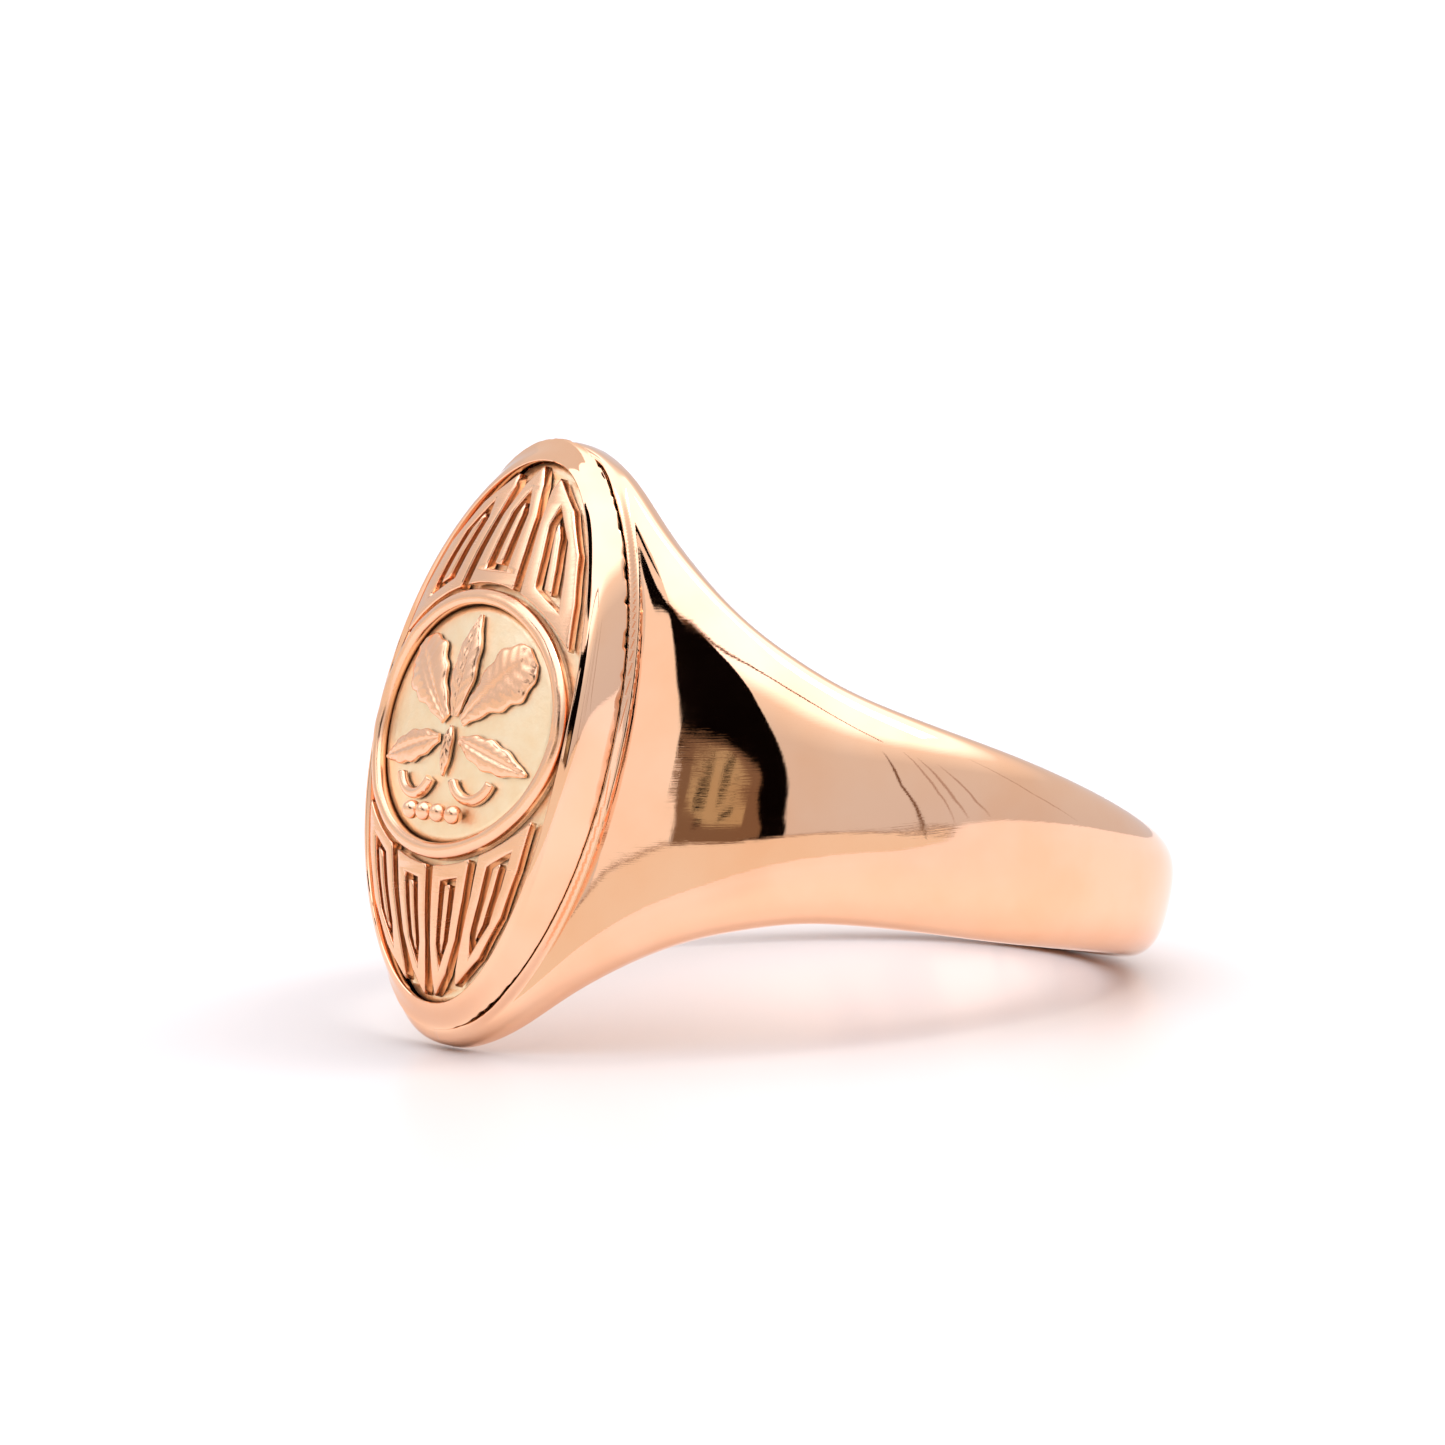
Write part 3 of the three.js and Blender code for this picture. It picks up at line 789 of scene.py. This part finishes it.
def floor_material():
    """Satin white table with painted shade and warm reflected glow: a little darker and warmer round the
    ring.
    """
    g = Graph("glossy_white_table")
    shader = g.nodes.new("ShaderNodeBsdfPrincipled")
    reach = g.nodes.new("ShaderNodeVectorMath")
    reach.operation = "LENGTH"
    g.link(g.mm, "Vector", reach, "Vector")
    spread = g.nodes.new("ShaderNodeMapRange")
    spread.inputs["From Min"].default_value = SHADE_AND_GLOW_WITHIN
    spread.inputs["From Max"].default_value = SHADE_AND_GLOW_UNTIL
    spread.interpolation_type = "SMOOTHSTEP"
    g.link(reach, "Value", spread, "Value")
    # Painted shade and warm glow of the ring: a darker, warmer colour near it.
    tone = g.ramp(spread, [(0.0, (0.725, 0.672, 0.63)), (1.0, (0.75, 0.72, 0.70))], "Result")
    g.link(tone, "Color", shader, "Base Color")
    shader.inputs["Roughness"].default_value = 0.3
    shader.inputs["Specular IOR Level"].default_value = 0.2
    out = g.nodes.new("ShaderNodeOutputMaterial")
    g.link(shader, "BSDF", out, "Surface")
    return g.material


corners = [(x * TABLE_HALF, y * TABLE_HALF, 0) for x, y in ((-1, -1), (1, -1), (1, 1), (-1, 1))]
table = add_mesh("table", corners, [(0, 1, 2, 3)], floor_material(), smooth=False)

# ---------------------------------------------------------------- studio cards, painted reflections
# Glowing cards stand round the ring and only its metal sees them: they light nothing and paint reflections
# into the metal. Their edges are given in degrees:
# azimuth, 0 in front of the face and growing towards +x, and elevation.
CARD_DISTANCE = 1.2
WALL_DISTANCE = 1.3
EDGE_STEPS = 49
HORIZON = [(-90, 8), (-30, 17), (-4, 20), (15, 18), (54, 9.5), (72, 7), (104, -0.5)]
WALL_FOOT = -0.6
LINE_FROM = -30
STRIP = [(12, 37.5), (20, 39), (32, 44.5), (44, 48), (72, 48.5), (80, 47.5), (93, 38)]
STRIP_HALF = 0.6
HOLES = [(27.5, 20.5, 1), (20, 21, 1.1), (29.5, 19, 1.2), (20.5, 19.5, 0.7)]
HOLE_HALF_W = 2.3
HOLE_HALF_H = 0.26
STREAK_TIP = 0.15


def glow_material(name, colour):
    material, nodes, links = new_material(name)
    shader = nodes.new("ShaderNodeEmission")
    shader.inputs["Color"].default_value = (*colour, 1)
    out = nodes.new("ShaderNodeOutputMaterial")
    links.new(shader.outputs["Emission"], out.inputs["Surface"])
    return material


def card(name, edges, material, distance=CARD_DISTANCE):
    """Glowing strip between two edges, given as pairs of (azimuth, elevation), that only the metal sees: a
    painted reflection.
    """
    points = []
    for pair in edges:
        for azimuth, elevation in pair:
            a, e = math.radians(azimuth), math.radians(elevation)
            points.append((distance * math.sin(a) * math.cos(e), -distance * math.cos(a) * math.cos(e),
                           distance * math.sin(e) + REST_LIFT * MM))
    faces = [(2 * i, 2 * i + 2, 2 * i + 3, 2 * i + 1) for i in range(len(edges) - 1)]
    piece = add_mesh(name, points, faces, material, smooth=False)
    piece.visible_camera = False
    piece.visible_diffuse = False
    piece.visible_shadow = False


def flag(name, stations, material, distance=CARD_DISTANCE):
    """Card from stations of azimuth, lower and upper elevation."""
    card(name, [((azimuth, low), (azimuth, high)) for azimuth, low, high in stations], material, distance)


def edge(points, azimuths):
    """Elevations on the smooth curve through points of azimuth and elevation."""
    x, y = np.array(points, float).T
    return cubic(x, y, np.gradient(y, x), azimuths)


def curved_flag(name, low, high, material, distance=CARD_DISTANCE):
    """Card between two smooth edges over the same azimuths; its foot stays above the horizon."""
    azimuths = np.linspace(low[0][0], low[-1][0], EDGE_STEPS)
    foot = np.maximum(edge(low, azimuths), edge(HORIZON, azimuths))
    flag(name, list(zip(azimuths, foot, edge(high, azimuths))), material, distance)


def streak(name, line, half_width, material):
    """Narrow card along a line of (azimuth, elevation), pointed at both ends."""
    taper = [STREAK_TIP] + [1] * (len(line) - 2) + [STREAK_TIP]
    card(name, [((azimuth - half_width * k, elevation), (azimuth + half_width * k, elevation))
                for (azimuth, elevation), k in zip(line, taper)], material)


# Glow of the cards, painted reflections: dark cards paint dark reflections, pale ones bright reflections.
black = glow_material("black_flag", (0.002, 0.001, 0.001))
brown = glow_material("brown_flag", (0.20, 0.12, 0.08))
shade = glow_material("shade_flag", (0.50, 0.42, 0.40))
line_shade = glow_material("line_shade", (0.36, 0.27, 0.22))
soft_wall = glow_material("soft_wall", (0.84, 0.83, 0.83))
pale = glow_material("pale_panel", (1.06, 1.03, 1.02))
lower_white = glow_material("lower_white", (0.95, 0.89, 0.81))
amber = glow_material("amber_panel", (0.22, 0.15, 0.10))
amber_light = glow_material("amber_inner_panel", (0.50, 0.42, 0.27))

wall_azimuths = np.linspace(HORIZON[0][0], HORIZON[-1][0], EDGE_STEPS)
wall = list(zip(wall_azimuths, edge(HORIZON, wall_azimuths)))
flag("lower_wall", [(azimuth, WALL_FOOT, top) for azimuth, top in wall], lower_white, 1.25)
flag("lower_line", [(azimuth, top - 0.15, top + 0.25) for azimuth, top in wall if azimuth > LINE_FROM],
     line_shade, 1.24)
flag("left_panel", [(-128, 26, 58), (-95, 26, 60), (-64, 26, 58)], soft_wall, WALL_DISTANCE)
flag("side_panel", [(-14, 16, 50), (13.8, 16, 50)], pale, WALL_DISTANCE)
curved_flag("lobe_flag", [(-13, 30), (-6, 29), (4, 32.5), (16, 36)],
            [(-13, 31.5), (-9, 36), (4, 36.5), (16, 38)], black)
curved_flag("rim_flag", [(-42, 49.5), (-20, 48), (-8, 44.5), (0, 43), (12, 43.5)],
            [(-42, 51.5), (-26, 57), (-8, 55), (3, 49.5), (12, 44.5)], black)
curved_flag("broad_flag", [(8, 25), (10, 22.5), (13, 21), (15, 18), (31, 14.5), (49, 10.5)],
            [(8, 27), (10, 33), (13, 37), (19, 38), (31, 42.5), (38, 36.5), (44, 26), (49, 13)], black)
curved_flag("small_panel", [(10, 22), (13, 21), (15, 18), (31, 14.5), (42, 12.5)],
            [(10, 22.5), (26, 22), (35, 20), (39, 18.5), (42, 14.5)], amber, 1.15)
curved_flag("small_inner_panel", [(15, 21.5), (18, 20.5), (36, 16.5)],
            [(15, 21.8), (28, 21), (36, 18.5)], amber_light, 1.12)
for i, (azimuth, elevation, size) in enumerate(HOLES):
    turn = np.linspace(-1, 1, 13)
    height = np.sqrt(1 - turn ** 2) * HOLE_HALF_H * size
    stations = [(azimuth + HOLE_HALF_W * size * t, elevation - h, elevation + h)
                for t, h in zip(turn, height)]
    flag(f"panel_hole_{i + 1}", stations, black, 1.1)
curved_flag("upper_strip", [(azimuth, middle - STRIP_HALF) for azimuth, middle in STRIP],
            [(azimuth, middle + STRIP_HALF) for azimuth, middle in STRIP], brown)
streak("dark_strip", [(87, 31), (86, 20), (86, 14), (91, 4), (94, 1)], 0.55, brown)
streak("faint_strip_1", [(98, 33), (98, 20), (99, 11), (102.5, 0.5)], 0.5, shade)
streak("faint_strip_2", [(102, 30), (102.5, 18), (104, 8), (107, 1)], 0.6, shade)
streak("faint_strip_3", [(109, 27), (110, 16), (112, 7), (115, 1)], 0.5, shade)
streak("rear_strip", [(136, 36), (137.5, 27), (140, 16), (145, 9), (151, 2)], 0.4, shade)

# ---------------------------------------------------------------- light
TENT_STRENGTH = 2.0
BACKDROP_STRENGTH = 1.1
# Colours of the tent from straight down to straight up.
TENT = [
    (0.0, (0.365, 0.37, 0.395)), (0.42, (0.39, 0.395, 0.41)), (0.58, (0.52, 0.52, 0.52)),
    (0.68, (0.98, 1.0, 1.1)), (1.0, (1.02, 1.04, 1.18)),
]


def world():
    """Light tent with a bright roof and softer walls; behind the ring the camera sees plain white."""
    tent = bpy.data.worlds.new("light_tent")
    scene.world = tent
    tent.use_nodes = True
    nodes, links = tent.node_tree.nodes, tent.node_tree.links
    nodes.clear()
    coords = nodes.new("ShaderNodeTexCoord")
    split = nodes.new("ShaderNodeSeparateXYZ")
    links.new(coords.outputs["Generated"], split.inputs["Vector"])
    ramp = nodes.new("ShaderNodeValToRGB")
    while len(ramp.color_ramp.elements) < len(TENT):
        ramp.color_ramp.elements.new(0.5)
    for element, (position, colour) in zip(ramp.color_ramp.elements, TENT):
        element.position = position
        element.color = (*colour, 1)
    links.new(split.outputs["Z"], ramp.inputs["Fac"])
    light = nodes.new("ShaderNodeBackground")
    light.inputs["Strength"].default_value = TENT_STRENGTH
    links.new(ramp.outputs["Color"], light.inputs["Color"])
    white = nodes.new("ShaderNodeBackground")
    white.inputs["Color"].default_value = (1, 1, 1, 1)
    white.inputs["Strength"].default_value = BACKDROP_STRENGTH
    path = nodes.new("ShaderNodeLightPath")
    choose = nodes.new("ShaderNodeMixShader")
    links.new(path.outputs["Is Camera Ray"], choose.inputs["Fac"])
    links.new(light.outputs["Background"], choose.inputs[1])
    links.new(white.outputs["Background"], choose.inputs[2])
    out = nodes.new("ShaderNodeOutputWorld")
    links.new(choose.outputs["Shader"], out.inputs["Surface"])


world()


def area_light(name, location, target, size, power, colour):
    """Square lamp turned towards a target."""
    light = bpy.data.lights.new(name, "AREA")
    light.shape = "SQUARE"
    light.size = size
    light.energy = power
    light.color = colour
    lamp = bpy.data.objects.new(name, light)
    scene.collection.objects.link(lamp)
    lamp.location = location
    direction = Vector(target) - Vector(location)
    lamp.rotation_euler = direction.to_track_quat("-Z", "Y").to_euler()


area_light("overhead_softbox", (0.2, 0.3, 0.55), (0, 0, 0), 0.2, 1.0, (1, 0.98, 0.95))

# ---------------------------------------------------------------- camera
# Distance in metres; the width seen at the ring and the offset of the ring in the frame in mm.
AZIMUTH = math.radians(52.4)
ELEVATION = math.radians(8.1)
ROLL = math.radians(-2.7)
DISTANCE = 0.4
VIEW_WIDTH = 38.298
AIM_ABOVE_BORE_AXIS = 1.0
FRAME_OFFSET = 1.59
SENSOR = 36.0

back = Vector((math.sin(AZIMUTH) * math.cos(ELEVATION), -math.cos(AZIMUTH) * math.cos(ELEVATION),
               math.sin(ELEVATION)))
level = Vector((math.cos(AZIMUTH), math.sin(AZIMUTH), 0))
upright = back.cross(level)
right = level * math.cos(ROLL) + upright * math.sin(ROLL)
up = upright * math.cos(ROLL) - level * math.sin(ROLL)
target = Vector((0, REST_SHIFT_Y, AIM_ABOVE_BORE_AXIS + REST_LIFT)) * MM
target += (up - right) * FRAME_OFFSET * MM
camera_data = bpy.data.cameras.new("camera")
camera_data.sensor_width = SENSOR
camera_data.lens = SENSOR * DISTANCE / (VIEW_WIDTH * MM)
camera_data.clip_start = 0.01
camera_data.clip_end = 10
camera = bpy.data.objects.new("camera", camera_data)
scene.collection.objects.link(camera)
place_camera = Matrix((right, up, back)).transposed().to_4x4()
place_camera.translation = target + back * DISTANCE
camera.matrix_world = place_camera
scene.camera = camera

scene.view_settings.view_transform = "Standard"
scene.view_settings.look = "None"
scene.view_settings.exposure = 0.0
